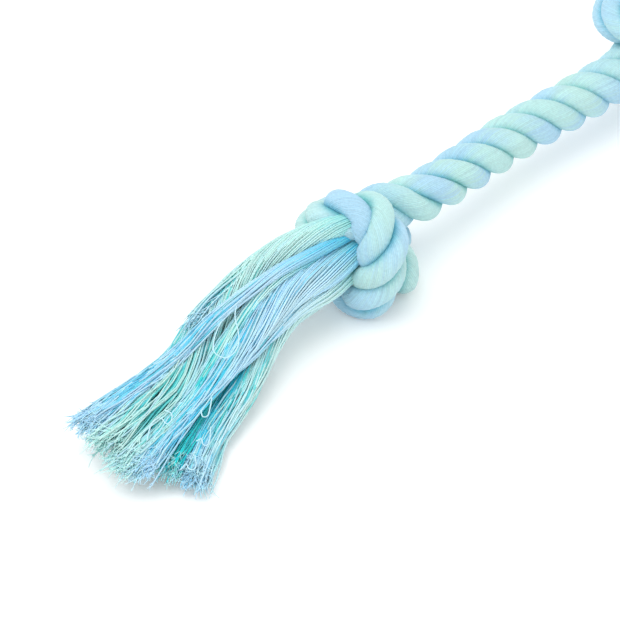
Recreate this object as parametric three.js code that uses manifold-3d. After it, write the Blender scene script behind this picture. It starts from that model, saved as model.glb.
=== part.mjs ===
// Two-knot rope dog toy: three cotton strands laid into one rope, an overhand knot drawn tight
// near each end, and the strand ends opened into tassels.
// Millimetres, +Z up, long axis along X, standing on Z = 0 with the origin below its middle.
import * as THREE from 'three';
import { mergeVertices } from 'three/addons/utils/BufferGeometryUtils.js';
import Module from 'manifold-3d';

const wasm = await Module();
wasm.setup();

// Rope between the knots
const ROPE_DIAMETER = 16;
const LAY_LENGTH_NEAR = 37;
const LAY_LENGTH_FAR = 27;
const LAY_START = THREE.MathUtils.degToRad(81);
const KNOT_SPACING = 128;
const ROPE_SAG = 1.5;
const ROPE_BOW = 2;

// Knots, where the cotton packs tighter and the passes lie closer than a rope diameter
const PASS_SPACING = 12.2;
const LAY_LENGTH_KNOT = 29;
const PACKED_DIAMETER = 13.5;
const FAR_SETTLE = 2.5;
const PACKING_RUN = 9;
const REST_CUT = 0.9;

// Distances from a knot's centre to the places where the rope and the tail give
const BEND_REACH = 27;
const SWING_REACH = 23;
const LIFT_REACH = 46;

// Tassels
const TASSEL_REACH = 124;
const TASSEL_VEER = 17;
const TASSEL_ROOT_WIDTH = 30;
const TASSEL_ROOT_HEIGHT = 20;
const TASSEL_TIP_WIDTH = 44;
const TASSEL_TIP_HEIGHT = 13;
const LOCK_RAGGEDNESS = 9;
const RAGGED_STRIDE = 0.382;
const DROOP_SHARE = 0.65;
const VEER_POWER = 1.3;

// Freedom of the bends, to each side
const BEND_ANGLE = THREE.MathUtils.degToRad(30);
const SWING_ANGLE = THREE.MathUtils.degToRad(35);
const LIFT_ANGLE = THREE.MathUtils.degToRad(50);

// Clearances and mesh fineness
const CLEARANCE = 0.3;
const ROOT_OVERRUN = 1;
const TRIM_ALLOWANCE = 12;
const STRAND_GAP = 0.4;
const STRAND_SIDES = 8;
const STEPS_PER_LAY = 9;
const TAIL_STEPS = 6;
const LOCK_STEPS = 9;
const BALL_SEGMENTS = 16;
const ROUTE_DIVISIONS = 2000;

// Centre line of the overhand knot in pass spacings, from the tail's mouth round the loop and the
// ring about the tail to the rope that runs on to the other knot
const KNOT = [
  [-1.40, -0.08, -0.01], [-0.92, -0.20, -0.08], [-0.40, -0.44, -0.22], [-0.10, -0.70, -0.64],
  [0.03, -0.72, -1.08], [0.37, -0.26, -1.23], [0.76, 0.38, -1.04], [0.60, 1.04, -0.80],
  [-0.10, 1.31, -0.55], [-0.82, 1.06, -0.26], [-1.05, 0.68, 0.32], [-0.92, 0.14, 0.95],
  [-0.56, -0.42, 0.99], [-0.62, -0.90, 0.76], [-0.80, -1.13, 0.32], [-0.94, -1.10, -0.36],
  [-1.08, -0.84, -1.02], [-0.84, 0.02, -1.20], [-0.26, 0.40, -0.70], [0.28, 0.42, -0.02],
  [0.86, 0.20, 0.12], [1.45, 0.02, 0.06],
];
// How far the knot's passes reach from its centre along the rope, in pass spacings
const KNOT_REACH = 1.1;
// Stretches nearer than this along the line, in pass spacings, follow on from each other
const PASS_RUN = 1.7;

const ROPE_RADIUS = ROPE_DIAMETER / 2;
const STRANDS = 3;
const STRAND_TURN = (2 * Math.PI) / STRANDS;
// Three equal circles in a unit circle: how far out they sit, and how large they are
const STRAND_OFFSET = 2 / (2 + Math.sqrt(3));
const STRAND_SHARE = 1 - STRAND_OFFSET;
// Laid strands lean, so they sit further out in the rope than upright circles do
const LAID_OFFSET = 0.59;
// Twelve locks in a unit circle: three inside, one for each strand, and nine round them
const LOCK_RING_INNER = 0.29;
const LOCK_RING_OUTER = 0.75;
const LOCK_RING_STEP = (2 * Math.PI) / 9;
const LOCK_SHARE = 0.245;

const UP = new THREE.Vector3(0, 0, 1);
const FAR_AWAY = 1000;
const { clamp, lerp, smoothstep } = THREE.MathUtils;

const COTTON = {
  sky: { color: 0x9ccbee, roughness: 0.95, metalness: 0 },
  mint: { color: 0xa4e4d8, roughness: 0.95, metalness: 0 },
  aqua: { color: 0x9fd9e4, roughness: 0.95, metalness: 0 },
};
const STRAND_COTTON = [COTTON.sky, COTTON.mint, COTTON.aqua];

const toy = new THREE.Group();

function addPiece(name, geometry, cotton) {
  geometry.computeVertexNormals();
  const mesh = new THREE.Mesh(geometry, new THREE.MeshStandardMaterial(cotton));
  mesh.name = name;
  toy.add(mesh);
}

// Closed body through a row of rings, each ring counter-clockwise about the way it travels
function loft(rings) {
  const sides = rings[0].length;
  const positions = rings.flat().flatMap((point) => point.toArray());
  const last = (rings.length - 1) * sides;
  const index = [];
  for (let ring = 0; ring < last; ring += sides) {
    for (let side = 0; side < sides; side += 1) {
      const next = (side + 1) % sides;
      index.push(ring + side, ring + next, ring + sides + next);
      index.push(ring + side, ring + sides + next, ring + sides + side);
    }
  }
  for (let side = 1; side < sides - 1; side += 1) {
    index.push(0, side + 1, side, last, last + side, last + side + 1);
  }
  const geometry = new THREE.BufferGeometry();
  geometry.setAttribute('position', new THREE.Float32BufferAttribute(positions, 3));
  geometry.setIndex(index);
  return geometry;
}

function toSolid(geometry) {
  geometry.deleteAttribute('normal');
  geometry.deleteAttribute('uv');
  const merged = mergeVertices(geometry);
  return new wasm.Manifold(new wasm.Mesh({
    numProp: 3,
    vertProperties: new Float32Array(merged.attributes.position.array),
    triVerts: new Uint32Array(merged.index.array),
  }));
}

function toGeometry(solid) {
  const mesh = solid.getMesh();
  const geometry = new THREE.BufferGeometry();
  geometry.setAttribute('position', new THREE.BufferAttribute(mesh.vertProperties, 3));
  geometry.setIndex(new THREE.BufferAttribute(mesh.triVerts, 1));
  return geometry;
}

function ball(centre, radius) {
  const sphere = new THREE.SphereGeometry(radius, BALL_SEGMENTS, BALL_SEGMENTS / 2);
  return toSolid(sphere.translate(centre.x, centre.y, centre.z));
}

// Everything above the floor between two planes square to X
function slab(fromX, toX) {
  const [low, high] = [Math.min(fromX, toX), Math.max(fromX, toX)];
  const box = new THREE.BoxGeometry(high - low, FAR_AWAY, FAR_AWAY);
  return toSolid(box.translate((low + high) / 2, 0, FAR_AWAY / 2));
}

// Round bar along Y, the core that a lifting tassel turns about
function crossBar(centre, radius) {
  const bar = new THREE.CylinderGeometry(radius, radius, FAR_AWAY, BALL_SEGMENTS);
  return toSolid(bar.translate(centre.x, centre.y, centre.z));
}

function tangentsOf(points) {
  return points.map((point, i) => {
    const ahead = points[Math.min(i + 1, points.length - 1)];
    const behind = points[Math.max(i - 1, 0)];
    return new THREE.Vector3().subVectors(ahead, behind).normalize();
  });
}

// Frames carried along a line without twisting about it
function carryFrames(points) {
  let normal = UP.clone();
  return tangentsOf(points).map((tangent) => {
    normal = normal.clone().addScaledVector(tangent, -normal.dot(tangent)).normalize();
    return { normal, side: new THREE.Vector3().crossVectors(tangent, normal) };
  });
}

function roundTube(points, radii) {
  const frames = carryFrames(points);
  return loft(points.map((point, i) => {
    const { normal, side } = frames[i];
    return Array.from({ length: STRAND_SIDES }, (_, corner) => {
      const angle = (corner / STRAND_SIDES) * 2 * Math.PI;
      return point.clone()
        .addScaledVector(normal, radii[i] * Math.cos(angle))
        .addScaledVector(side, radii[i] * Math.sin(angle));
    });
  }));
}

function nearKnotLine() {
  const centre = new THREE.Vector3(-KNOT_SPACING / 2, 0, 0);
  return KNOT.map((point) => new THREE.Vector3(...point).multiplyScalar(PASS_SPACING).add(centre));
}

// The far knot is the near one turned over, end for end, and settled until it rests as well
function farKnotLine() {
  return nearKnotLine().reverse().map(({ x, y, z }) => new THREE.Vector3(-x, y, -z - FAR_SETTLE));
}

// Centre line of the whole rope, from beyond one tail's mouth to beyond the other
function ropeLine() {
  const near = nearKnotLine();
  const far = farKnotLine();
  const tailRun = SWING_REACH + ROPE_DIAMETER;
  const middle = near[near.length - 1].clone().lerp(far[0], 0.5);
  middle.add(new THREE.Vector3(0, ROPE_BOW, -ROPE_SAG));
  const start = near[0].clone().setX(-KNOT_SPACING / 2 - tailRun);
  const end = far[far.length - 1].clone().setX(KNOT_SPACING / 2 + tailRun);
  const curve = new THREE.CatmullRomCurve3([start, ...near, middle, ...far, end]);
  curve.arcLengthDivisions = ROUTE_DIVISIONS;
  const finestLay = Math.min(LAY_LENGTH_NEAR, LAY_LENGTH_FAR, LAY_LENGTH_KNOT);
  const steps = Math.ceil((curve.getLength() / finestLay) * STEPS_PER_LAY);
  return { points: curve.getSpacedPoints(steps), pitch: curve.getLength() / steps };
}

// How far a point is into a packed knot, from 0 in the open rope to 1
function packingAt(point) {
  const out = Math.abs(Math.abs(point.x) - KNOT_SPACING / 2);
  const knotHalf = KNOT_REACH * PASS_SPACING;
  return 1 - smoothstep(out, knotHalf, knotHalf + PACKING_RUN);
}

// Angle that the lay has turned through at each point, tighter towards the far end and in a knot
function layAngles(points, pitch) {
  let angle = LAY_START;
  return points.map((point) => {
    const share = clamp(point.x / KNOT_SPACING + 0.5, 0, 1);
    const openLay = lerp(LAY_LENGTH_NEAR, LAY_LENGTH_FAR, share);
    angle += (2 * Math.PI * pitch) / lerp(openLay, LAY_LENGTH_KNOT, packingAt(point));
    return angle;
  });
}

// The same line with a point put halfway along each step
function finer(points) {
  return points.flatMap((point, i) => (
    i === 0 ? [point] : [points[i - 1].clone().lerp(point, 0.5), point]
  ));
}

const line = ropeLine();
const frames = carryFrames(line.points);
const turns = layAngles(line.points, line.pitch);
const packing = line.points.map(packingAt);

function strandLine(strand) {
  return line.points.map((point, i) => {
    const radius = (lerp(ROPE_DIAMETER, PACKED_DIAMETER, packing[i]) / 2) * LAID_OFFSET;
    const angle = turns[i] + strand * STRAND_TURN;
    return point.clone()
      .addScaledVector(frames[i].normal, radius * Math.cos(angle))
      .addScaledVector(frames[i].side, radius * Math.sin(angle));
  });
}

const strandLines = Array.from({ length: STRANDS }, (_, strand) => strandLine(strand));
const finerLines = strandLines.map(finer);
const passSkip = Math.ceil((PASS_RUN * PASS_SPACING) / line.pitch);

// Strand radius at each point, up to the packed circles' own, that leaves the gap to whatever
// other stretch of strand lies nearest
function clearRadii(strand) {
  return strandLines[strand].map((point, i) => {
    const others = finerLines.map((points, other) => points.filter((_, j) => (
      other !== strand || Math.abs(i - j / 2) > passSkip
    )));
    const nearest = Math.min(...others.flat().map((opposite) => point.distanceTo(opposite)));
    return Math.min((nearest - STRAND_GAP) / 2, STRAND_SHARE * ROPE_RADIUS);
  });
}

const strandRadii = strandLines.map((_, strand) => clearRadii(strand));

const strandBottoms = strandLines.flatMap((points, strand) => (
  points.map(({ z }, i) => z - strandRadii[strand][i])
));
const floorLevel = Math.min(...strandBottoms) + REST_CUT;
[...line.points, ...strandLines.flat()].forEach((point) => { point.z -= floorLevel; });

// First point of the line outside the packed knots that has come as far as x
function indexAt(x) {
  return line.points.findIndex((point, i) => packing[i] < 1 && point.x >= x);
}

function pointAt(x) {
  const i = indexAt(x);
  const [before, after] = [line.points[i - 1], line.points[i]];
  return before.clone().lerp(after, (x - before.x) / (after.x - before.x));
}

function strandBetween(strand, fromX, toX, region) {
  const [low, high] = [fromX - TRIM_ALLOWANCE, toX + TRIM_ALLOWANCE];
  const kept = (_, i) => line.points[i].x > low && line.points[i].x < high;
  const tube = roundTube(strandLines[strand].filter(kept), strandRadii[strand].filter(kept));
  return toGeometry(toSolid(tube).intersect(region));
}

// Each end of the toy: the side of the middle that it lies on, and which way its tassel veers
const ENDS = [
  { name: 'near', way: -1, veer: -TASSEL_VEER },
  { name: 'far', way: 1, veer: TASSEL_VEER },
].map((end) => {
  const centreX = (end.way * KNOT_SPACING) / 2;
  return {
    ...end,
    centreX,
    bend: pointAt(centreX - end.way * BEND_REACH),
    swing: pointAt(centreX + end.way * SWING_REACH),
  };
});

function addKnot(end) {
  const bendEdge = end.bend.x + end.way * ROPE_RADIUS * Math.sin(BEND_ANGLE);
  const swingEdge = end.swing.x - end.way * ROPE_RADIUS * Math.sin(SWING_ANGLE);
  const region = slab(bendEdge, swingEdge)
    .add(ball(end.bend, ROPE_RADIUS))
    .add(ball(end.swing, ROPE_RADIUS));
  const [low, high] = [end.bend.x, end.swing.x].sort((a, b) => a - b);
  STRAND_COTTON.forEach((cotton, strand) => {
    addPiece(`${end.name}_knot_strand_${strand + 1}`, strandBetween(strand, low, high, region), cotton);
  });
}

function addHalfRope(end) {
  const middleX = (end.way * CLEARANCE) / 2;
  const region = slab(middleX, end.bend.x).subtract(ball(end.bend, ROPE_RADIUS + CLEARANCE));
  const [low, high] = [middleX, end.bend.x].sort((a, b) => a - b);
  STRAND_COTTON.forEach((cotton, strand) => {
    addPiece(`rope_${end.name}_strand_${strand + 1}`, strandBetween(strand, low, high, region), cotton);
  });
}

// Cross-section of a tail at a distance from the knot's centre, as an ellipse on its centre line
function tailSection(end, reach) {
  const opening = Math.sqrt(clamp((reach - SWING_REACH) / (LIFT_REACH - SWING_REACH), 0, 1));
  const spread = smoothstep(reach, LIFT_REACH, TASSEL_REACH);
  const halfWidth = lerp(lerp(ROPE_DIAMETER, TASSEL_ROOT_WIDTH, opening), TASSEL_TIP_WIDTH, spread) / 2;
  const halfHeight = lerp(lerp(ROPE_DIAMETER, TASSEL_ROOT_HEIGHT, opening), TASSEL_TIP_HEIGHT, spread) / 2;
  const droop = 1 - smoothstep(reach, SWING_REACH, lerp(LIFT_REACH, TASSEL_REACH, DROOP_SHARE));
  const rootClear = end.swing.z - ROPE_RADIUS - CLEARANCE;
  const beyond = Math.max(0, reach - LIFT_REACH) / (TASSEL_REACH - LIFT_REACH);
  const centre = new THREE.Vector3(
    end.centreX + end.way * reach,
    end.swing.y + end.veer * beyond ** VEER_POWER,
    halfHeight + CLEARANCE + rootClear * droop,
  );
  return { centre, halfWidth, halfHeight };
}

// Body that fills one disc of the tail's unit cross-section between two distances
function tailBody(end, disc, fromReach, toReach, steps) {
  const sections = Array.from({ length: steps + 1 }, (_, i) => (
    tailSection(end, lerp(fromReach, toReach, i / steps))
  ));
  const tangents = tangentsOf(sections.map(({ centre }) => centre));
  return loft(sections.map(({ centre, halfWidth, halfHeight }, i) => {
    const side = new THREE.Vector3().crossVectors(tangents[i], UP).normalize();
    const lift = new THREE.Vector3().crossVectors(side, tangents[i]);
    return Array.from({ length: STRAND_SIDES }, (_, corner) => {
      const angle = (corner / STRAND_SIDES) * 2 * Math.PI;
      return centre.clone()
        .addScaledVector(lift, halfHeight * (disc.up + disc.radius * Math.cos(angle)))
        .addScaledVector(side, halfWidth * (disc.across + disc.radius * Math.sin(angle)));
    });
  }));
}

function discAt(ring, angle, radius) {
  return { up: ring * Math.cos(angle), across: ring * Math.sin(angle), radius };
}

// Where a strand stands round the tail as it leaves the knot, counted from straight up
function strandAngle(end, strand) {
  const i = indexAt(end.swing.x);
  const out = strandLines[strand][i].clone().sub(line.points[i]);
  return Math.atan2(-end.way * out.y, out.z);
}

function addTail(end) {
  const socket = ball(end.swing, ROPE_RADIUS + CLEARANCE);
  const hinge = tailSection(end, LIFT_REACH);
  const core = crossBar(hinge.centre, hinge.halfHeight);
  const neckEdge = hinge.centre.x - end.way * hinge.halfHeight * Math.sin(LIFT_ANGLE);
  const neckRegion = slab(end.swing.x, neckEdge).add(core).subtract(socket);
  const lockRegion = slab(hinge.centre.x, end.way * FAR_AWAY)
    .subtract(crossBar(hinge.centre, hinge.halfHeight + CLEARANCE));
  const halfGap = STRAND_GAP / TASSEL_TIP_HEIGHT;
  STRAND_COTTON.forEach((cotton, strand) => {
    const angle = strandAngle(end, strand);
    const neck = discAt(STRAND_OFFSET, angle, STRAND_SHARE - halfGap);
    const neckBody = tailBody(end, neck, SWING_REACH - ROOT_OVERRUN, LIFT_REACH + ROPE_RADIUS, TAIL_STEPS);
    const neckSolid = toSolid(neckBody).intersect(neckRegion);
    addPiece(`${end.name}_tail_strand_${strand + 1}`, toGeometry(neckSolid), cotton);
    const discs = [
      discAt(LOCK_RING_INNER, angle, LOCK_SHARE - halfGap),
      ...[-0.5, 0.5, 1.5].map((step) => (
        discAt(LOCK_RING_OUTER, angle + step * LOCK_RING_STEP, LOCK_SHARE - halfGap)
      )),
    ];
    discs.forEach((disc, i) => {
      const number = strand * discs.length + i + 1;
      const short = LOCK_RAGGEDNESS * ((number * RAGGED_STRIDE) % 1);
      const lock = tailBody(end, disc, LIFT_REACH - ROOT_OVERRUN, TASSEL_REACH - short, LOCK_STEPS);
      const solid = toSolid(lock).intersect(lockRegion);
      addPiece(`${end.name}_tassel_lock_${number}`, toGeometry(solid), cotton);
    });
  });
}

ENDS.forEach((end) => {
  addKnot(end);
  addHalfRope(end);
  addTail(end);
});

const box = new THREE.Box3().setFromObject(toy);
const centre = box.getCenter(new THREE.Vector3());
toy.position.set(-centre.x, -centre.y, 0);

export default toy;
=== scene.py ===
"""Rope dog toy: three strands of cotton laid into a rope, a knot near each end and two frayed tassels.

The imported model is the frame. Every piece here is a set of tubes worked out with numpy in that frame, in
metres: the three strands with their outer yarns, and the loose yarns, plies and threads of the tassels.
"""

import logging
from dataclasses import dataclass, field
from enum import Enum

import bpy
import numpy as np
from mathutils import Matrix, Vector

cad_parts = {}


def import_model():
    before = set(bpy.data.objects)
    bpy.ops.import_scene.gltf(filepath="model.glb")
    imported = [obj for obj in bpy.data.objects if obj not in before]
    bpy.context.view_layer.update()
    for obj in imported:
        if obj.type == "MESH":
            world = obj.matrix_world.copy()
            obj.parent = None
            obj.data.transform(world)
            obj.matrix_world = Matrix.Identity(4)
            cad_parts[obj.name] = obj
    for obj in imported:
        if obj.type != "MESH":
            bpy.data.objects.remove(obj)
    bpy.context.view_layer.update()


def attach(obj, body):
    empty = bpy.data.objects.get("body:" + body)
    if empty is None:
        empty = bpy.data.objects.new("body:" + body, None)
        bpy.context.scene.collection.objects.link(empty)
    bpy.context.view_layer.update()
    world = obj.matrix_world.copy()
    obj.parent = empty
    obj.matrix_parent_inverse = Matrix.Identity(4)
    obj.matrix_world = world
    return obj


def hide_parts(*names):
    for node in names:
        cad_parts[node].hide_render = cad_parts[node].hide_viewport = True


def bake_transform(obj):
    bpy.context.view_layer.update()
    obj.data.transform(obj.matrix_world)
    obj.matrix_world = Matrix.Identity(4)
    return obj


LOG = logging.getLogger("rope_toy")
MM = 0.001
TURN = 2.0 * np.pi
GOLDEN_ANGLE = np.pi * (3.0 - np.sqrt(5.0))
TINY = 1e-12
UP = np.array([0.0, 0.0, 1.0])
STRANDS = 3
LOCKS_PER_STRAND = 4


class Slot(Enum):
    """The record's cotton finishes, one for each strand of the rope."""

    SKY = "sky_cotton"
    MINT = "mint_cotton"
    AQUA = "aqua_cotton"


class End(Enum):
    """The rope's ends: name, and the way along X in which the end's tassel points."""

    NEAR = ("near", -1.0)
    FAR = ("far", 1.0)

    @property
    def label(self) -> str:
        """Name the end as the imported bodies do."""
        return self.value[0]

    @property
    def way(self) -> float:
        """Give -1 where the tassel points along -X, and 1 where it points along +X."""
        return self.value[1]


def smoothstep(value: np.ndarray, start: float, stop: float) -> np.ndarray:
    """Ease from 0 at start to 1 at stop, as 3t^2 - 2t^3.

    Args:
        value: Numbers to ease.
        start: Number that gives 0.
        stop: Number that gives 1.

    Returns:
        The eased shares, in the shape of value.
    """
    share = np.clip((value - start) / (stop - start), 0.0, 1.0)
    return share * share * (3.0 - 2.0 * share)


def unit(vectors: np.ndarray) -> np.ndarray:
    """Scale vectors on the last axis to length 1."""
    return vectors / np.maximum(np.linalg.norm(vectors, axis=-1, keepdims=True), TINY)


def dot(first: np.ndarray, second: np.ndarray) -> np.ndarray:
    """Multiply vectors on the last axis, and keep that axis."""
    return np.sum(first * second, axis=-1, keepdims=True)


def curve_through(points: np.ndarray, steps: int) -> np.ndarray:
    """Carry a centripetal Catmull-Rom curve through points.

    Each stretch between two points is the Barry-Goldman pyramid of its four nearest points, whose knots lie
    the square root of the points' distance apart. The line is carried on straight past both ends.

    Args:
        points: Points to pass through, one a row.
        steps: Steps in each stretch.

    Returns:
        Points of the curve, the last of the given points included.
    """
    padded = np.vstack([2 * points[0] - points[1], points, 2 * points[-1] - points[-2]])
    a, b, c, d = (padded[i:len(padded) - 3 + i, None, :] for i in range(4))
    knot_b = np.sqrt(np.linalg.norm(b - a, axis=-1, keepdims=True))
    knot_c = knot_b + np.sqrt(np.linalg.norm(c - b, axis=-1, keepdims=True))
    knot_d = knot_c + np.sqrt(np.linalg.norm(d - c, axis=-1, keepdims=True))
    t = knot_b + (knot_c - knot_b) * np.linspace(0.0, 1.0, steps, endpoint=False)[None, :, None]
    ab = a + (b - a) * t / knot_b
    bc = b + (c - b) * (t - knot_b) / (knot_c - knot_b)
    cd = c + (d - c) * (t - knot_c) / (knot_d - knot_c)
    abc = ab + (bc - ab) * t / knot_c
    bcd = bc + (cd - bc) * (t - knot_b) / (knot_d - knot_b)
    curve = abc + (bcd - abc) * (t - knot_b) / (knot_c - knot_b)
    return np.vstack([curve.reshape(-1, points.shape[1]), points[-1]])


def run_length(points: np.ndarray) -> np.ndarray:
    """Measure the way along a line of points, from 0 at its first point."""
    steps = np.linalg.norm(np.diff(points, axis=-2), axis=-1)
    start = np.zeros(steps.shape[:-1] + (1,))
    return np.concatenate([start, np.cumsum(steps, axis=-1)], axis=-1)


def evenly(points: np.ndarray, pitch: float) -> np.ndarray:
    """Space a line's points evenly, as near to a pitch as fits its length."""
    run = run_length(points)
    stops = np.linspace(0.0, run[-1], int(round(run[-1] / pitch)) + 1)
    return np.stack([np.interp(stops, run, axis) for axis in points.T], axis=-1)


def smooth_line(stations: np.ndarray, values: np.ndarray, at: np.ndarray) -> np.ndarray:
    """Read a smooth line through stations, as cubic Hermite stretches with mean slopes.

    Args:
        stations: Rising places of the values.
        values: Values at the stations.
        at: Places to read.

    Returns:
        The line's values at those places, held level beyond both ends.
    """
    slopes = np.gradient(values, stations)
    place = np.clip(at, stations[0], stations[-1])
    i = np.clip(np.searchsorted(stations, place, side="right") - 1, 0, len(stations) - 2)
    width = stations[i + 1] - stations[i]
    t = (place - stations[i]) / width
    rise = t * t * (3.0 - 2.0 * t)
    bend = slopes[i] * t * (1.0 - t) ** 2 - slopes[i + 1] * t * t * (1.0 - t)
    return values[i] + (values[i + 1] - values[i]) * rise + bend * width


def carried_frames(points: np.ndarray) -> tuple[np.ndarray, np.ndarray]:
    """Carry a cross frame along a line without letting it spin.

    A frame square to the line is taken from UP at every point. The turn that it makes from point to point
    is summed up, and taken off again.

    Args:
        points: Points of a line that starts level.

    Returns:
        The carried normal, which starts as UP, and the tangent's cross product with it.
    """
    tangent = unit(np.gradient(points, axis=0))
    guide = unit(np.cross(tangent, UP))
    side = np.cross(tangent, guide)
    carried = unit(guide[:-1] - tangent[1:] * dot(guide[:-1], tangent[1:]))
    spin = np.arctan2(dot(np.cross(carried, guide[1:]), tangent[1:]), dot(carried, guide[1:]))
    angle = np.vstack([np.zeros((1, 1)), np.cumsum(spin, axis=0)])
    normal = -(side * np.cos(angle) + guide * np.sin(angle))
    return normal, np.cross(tangent, normal)


def settled(points: np.ndarray, softness: float) -> np.ndarray:
    """Press points softly up to the floor's level, z = (z + sqrt(z^2 + softness^2)) / 2."""
    height = points[..., 2]
    lifted = 0.5 * (height + np.sqrt(height * height + softness * softness))
    return np.concatenate([points[..., :2], lifted[..., None]], axis=-1)


def linked(name: str, data: bpy.types.ID) -> bpy.types.Object:
    """Make an object of a mesh, lamp or camera, and link it to the scene."""
    holder = bpy.data.objects.new(name, data)
    bpy.context.scene.collection.objects.link(holder)
    return holder


@dataclass
class Tubes:
    """Closed tubes side by side, in arrays of tube, row along it and column round it.

    Attributes:
        points: Places in metres.
        mint: Share of the mint dye, from 0, sky blue, to 1.
        deep: Painted shade where the cotton lies in a groove or in the bundle, from 0 to 1.
        tone: Lighter or darker yarn, about 0; on the strands it also holds painted darkening in creases.
        run: Way along each tube's rows in metres.
        yarns: Yarns that the columns of a tube show.
        normals: Directions to shade by, so that tubes go on smoothly in another piece.
    """

    points: np.ndarray
    mint: np.ndarray
    deep: np.ndarray
    tone: np.ndarray
    run: np.ndarray
    yarns: int = 1
    normals: np.ndarray = field(kw_only=True)

    def corners(self) -> tuple[np.ndarray, np.ndarray]:
        """Lay out the four corners of every side face.

        Returns:
            Vertex numbers and texture places of the corners, a face a row, so that the faces point out.
        """
        tubes, rows, columns = self.points.shape[:3]
        tube, row, column = np.meshgrid(
            np.arange(tubes), np.arange(rows - 1), np.arange(columns), indexing="ij")
        row_of = np.stack([row, row, row + 1, row + 1], axis=-1)
        column_of = np.stack([column, column + 1, column + 1, column], axis=-1)
        tube_of = np.repeat(tube[..., None], 4, axis=-1)
        vertex = (tube_of * rows + row_of) * columns + column_of % columns
        texture = np.stack([self.run[tube_of, row_of], column_of * (self.yarns / columns)], axis=-1)
        return vertex.reshape(-1, 4), texture.reshape(-1, 4, 2)

    def lids(self) -> np.ndarray:
        """List the vertex rings that close both ends of every tube, as seen from outside."""
        tubes, rows, columns = self.points.shape[:3]
        ring = np.arange(columns)
        base = np.arange(tubes)[:, None] * rows * columns
        return np.vstack([base + ring[::-1], base + (rows - 1) * columns + ring])

    def rows(self, kept: slice | np.ndarray) -> "Tubes":
        """Take some rows of every tube."""
        parts = (getattr(self, title)[:, kept] for title in ("points", "mint", "deep", "tone", "run"))
        return Tubes(*parts, self.yarns, normals=self.normals[:, kept])

    def build(self, name: str) -> bpy.types.Object:
        """Make the tubes one mesh object, with the dye, the painted shade and the tone as attributes.

        Args:
            name: Name of the piece.

        Returns:
            The object, linked to the scene.
        """
        sides, texture = self.corners()
        lids = self.lids()
        mesh = bpy.data.meshes.new(name)
        mesh.vertices.add(self.points.size // 3)
        mesh.vertices.foreach_set("co", self.points.astype(np.float32).ravel())
        mesh.loops.add(sides.size + lids.size)
        vertices = np.concatenate([sides.ravel(), lids.ravel()])
        mesh.loops.foreach_set("vertex_index", vertices.astype(np.int32))
        side_starts = np.arange(len(sides)) * sides.shape[1]
        lid_starts = sides.size + np.arange(len(lids)) * lids.shape[1]
        starts = np.concatenate([side_starts, lid_starts])
        mesh.polygons.add(len(starts))
        mesh.polygons.foreach_set("loop_start", starts.astype(np.int32))
        mesh.update(calc_edges=True)
        mesh.polygons.foreach_set("use_smooth", np.arange(len(starts)) < len(sides))
        places = np.vstack([texture.reshape(-1, 2), np.zeros((lids.size, 2))])
        uv = mesh.uv_layers.new(name="yarn")
        uv.uv.foreach_set("vector", places.astype(np.float32).ravel())
        for title in ("mint", "deep", "tone"):
            values = np.broadcast_to(getattr(self, title), self.points.shape[:3])
            mesh.attributes.new(title, "FLOAT", "POINT").data.foreach_set(
                "value", values.astype(np.float32).ravel())
        mesh.normals_split_custom_set_from_vertices(self.normals.reshape(-1, 3))
        return linked(name, mesh)


def yarn_tubes(path: np.ndarray, radius: np.ndarray, mint: np.ndarray, deep: np.ndarray,
               tone: np.ndarray, sides: int) -> Tubes:
    """Carry a round section along every yarn of a bundle.

    Args:
        path: Places by yarn and row.
        radius: Section's radius by yarn and row.
        mint: Share of mint by yarn and row.
        deep: Painted shade in the bundle by yarn and row.
        tone: Tone by yarn.
        sides: Corners of the section.

    Returns:
        The tubes of the yarns.
    """
    tangent = unit(np.gradient(path, axis=1))
    normal = unit(UP - tangent * dot(tangent, UP))
    side = np.cross(tangent, normal)
    angle = (np.arange(sides) / sides * TURN)[None, None, :, None]
    ring = normal[:, :, None] * np.cos(angle) + side[:, :, None] * np.sin(angle)
    points = path[:, :, None] + ring * radius[:, :, None, None]
    spread = np.ones(points.shape[:3])
    return Tubes(points, mint[:, :, None] * spread, deep[:, :, None] * spread, tone[:, None, None] * spread,
                 run_length(path), normals=ring)


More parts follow.
